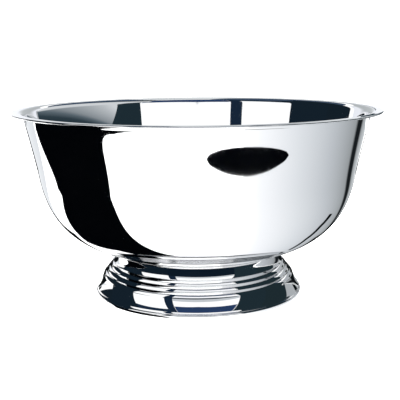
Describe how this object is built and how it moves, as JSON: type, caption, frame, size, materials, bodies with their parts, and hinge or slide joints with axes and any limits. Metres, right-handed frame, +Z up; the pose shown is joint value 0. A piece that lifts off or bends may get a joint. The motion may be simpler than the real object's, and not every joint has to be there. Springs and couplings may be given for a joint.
{
  "type": "punch bowl",
  "caption": "Footed punch bowl in polished stainless steel: a deep round bowl with a flared, hemmed lip, brazed to a hollow stepped foot.",
  "frame": {"origin": "centre of the foot's flat resting face, on the floor", "axes": "+Z up along the bowl's axis of symmetry; +X and +Y are alike, because every piece is round about Z"},
  "size_m": [0.394, 0.394, 0.2],
  "materials": {
    "polished_bowl": "mirror-polished stainless steel sheet",
    "polished_foot": "mirror-polished stainless steel sheet, brighter on the beads than in the steps",
    "braze": "dull silver brazing metal, as it set"
  },
  "bodies": {
    "root": {"bowl_shell": "polished_bowl", "foot_shell": "polished_foot", "braze_ring": "braze"}
  },
  "joints": []
}
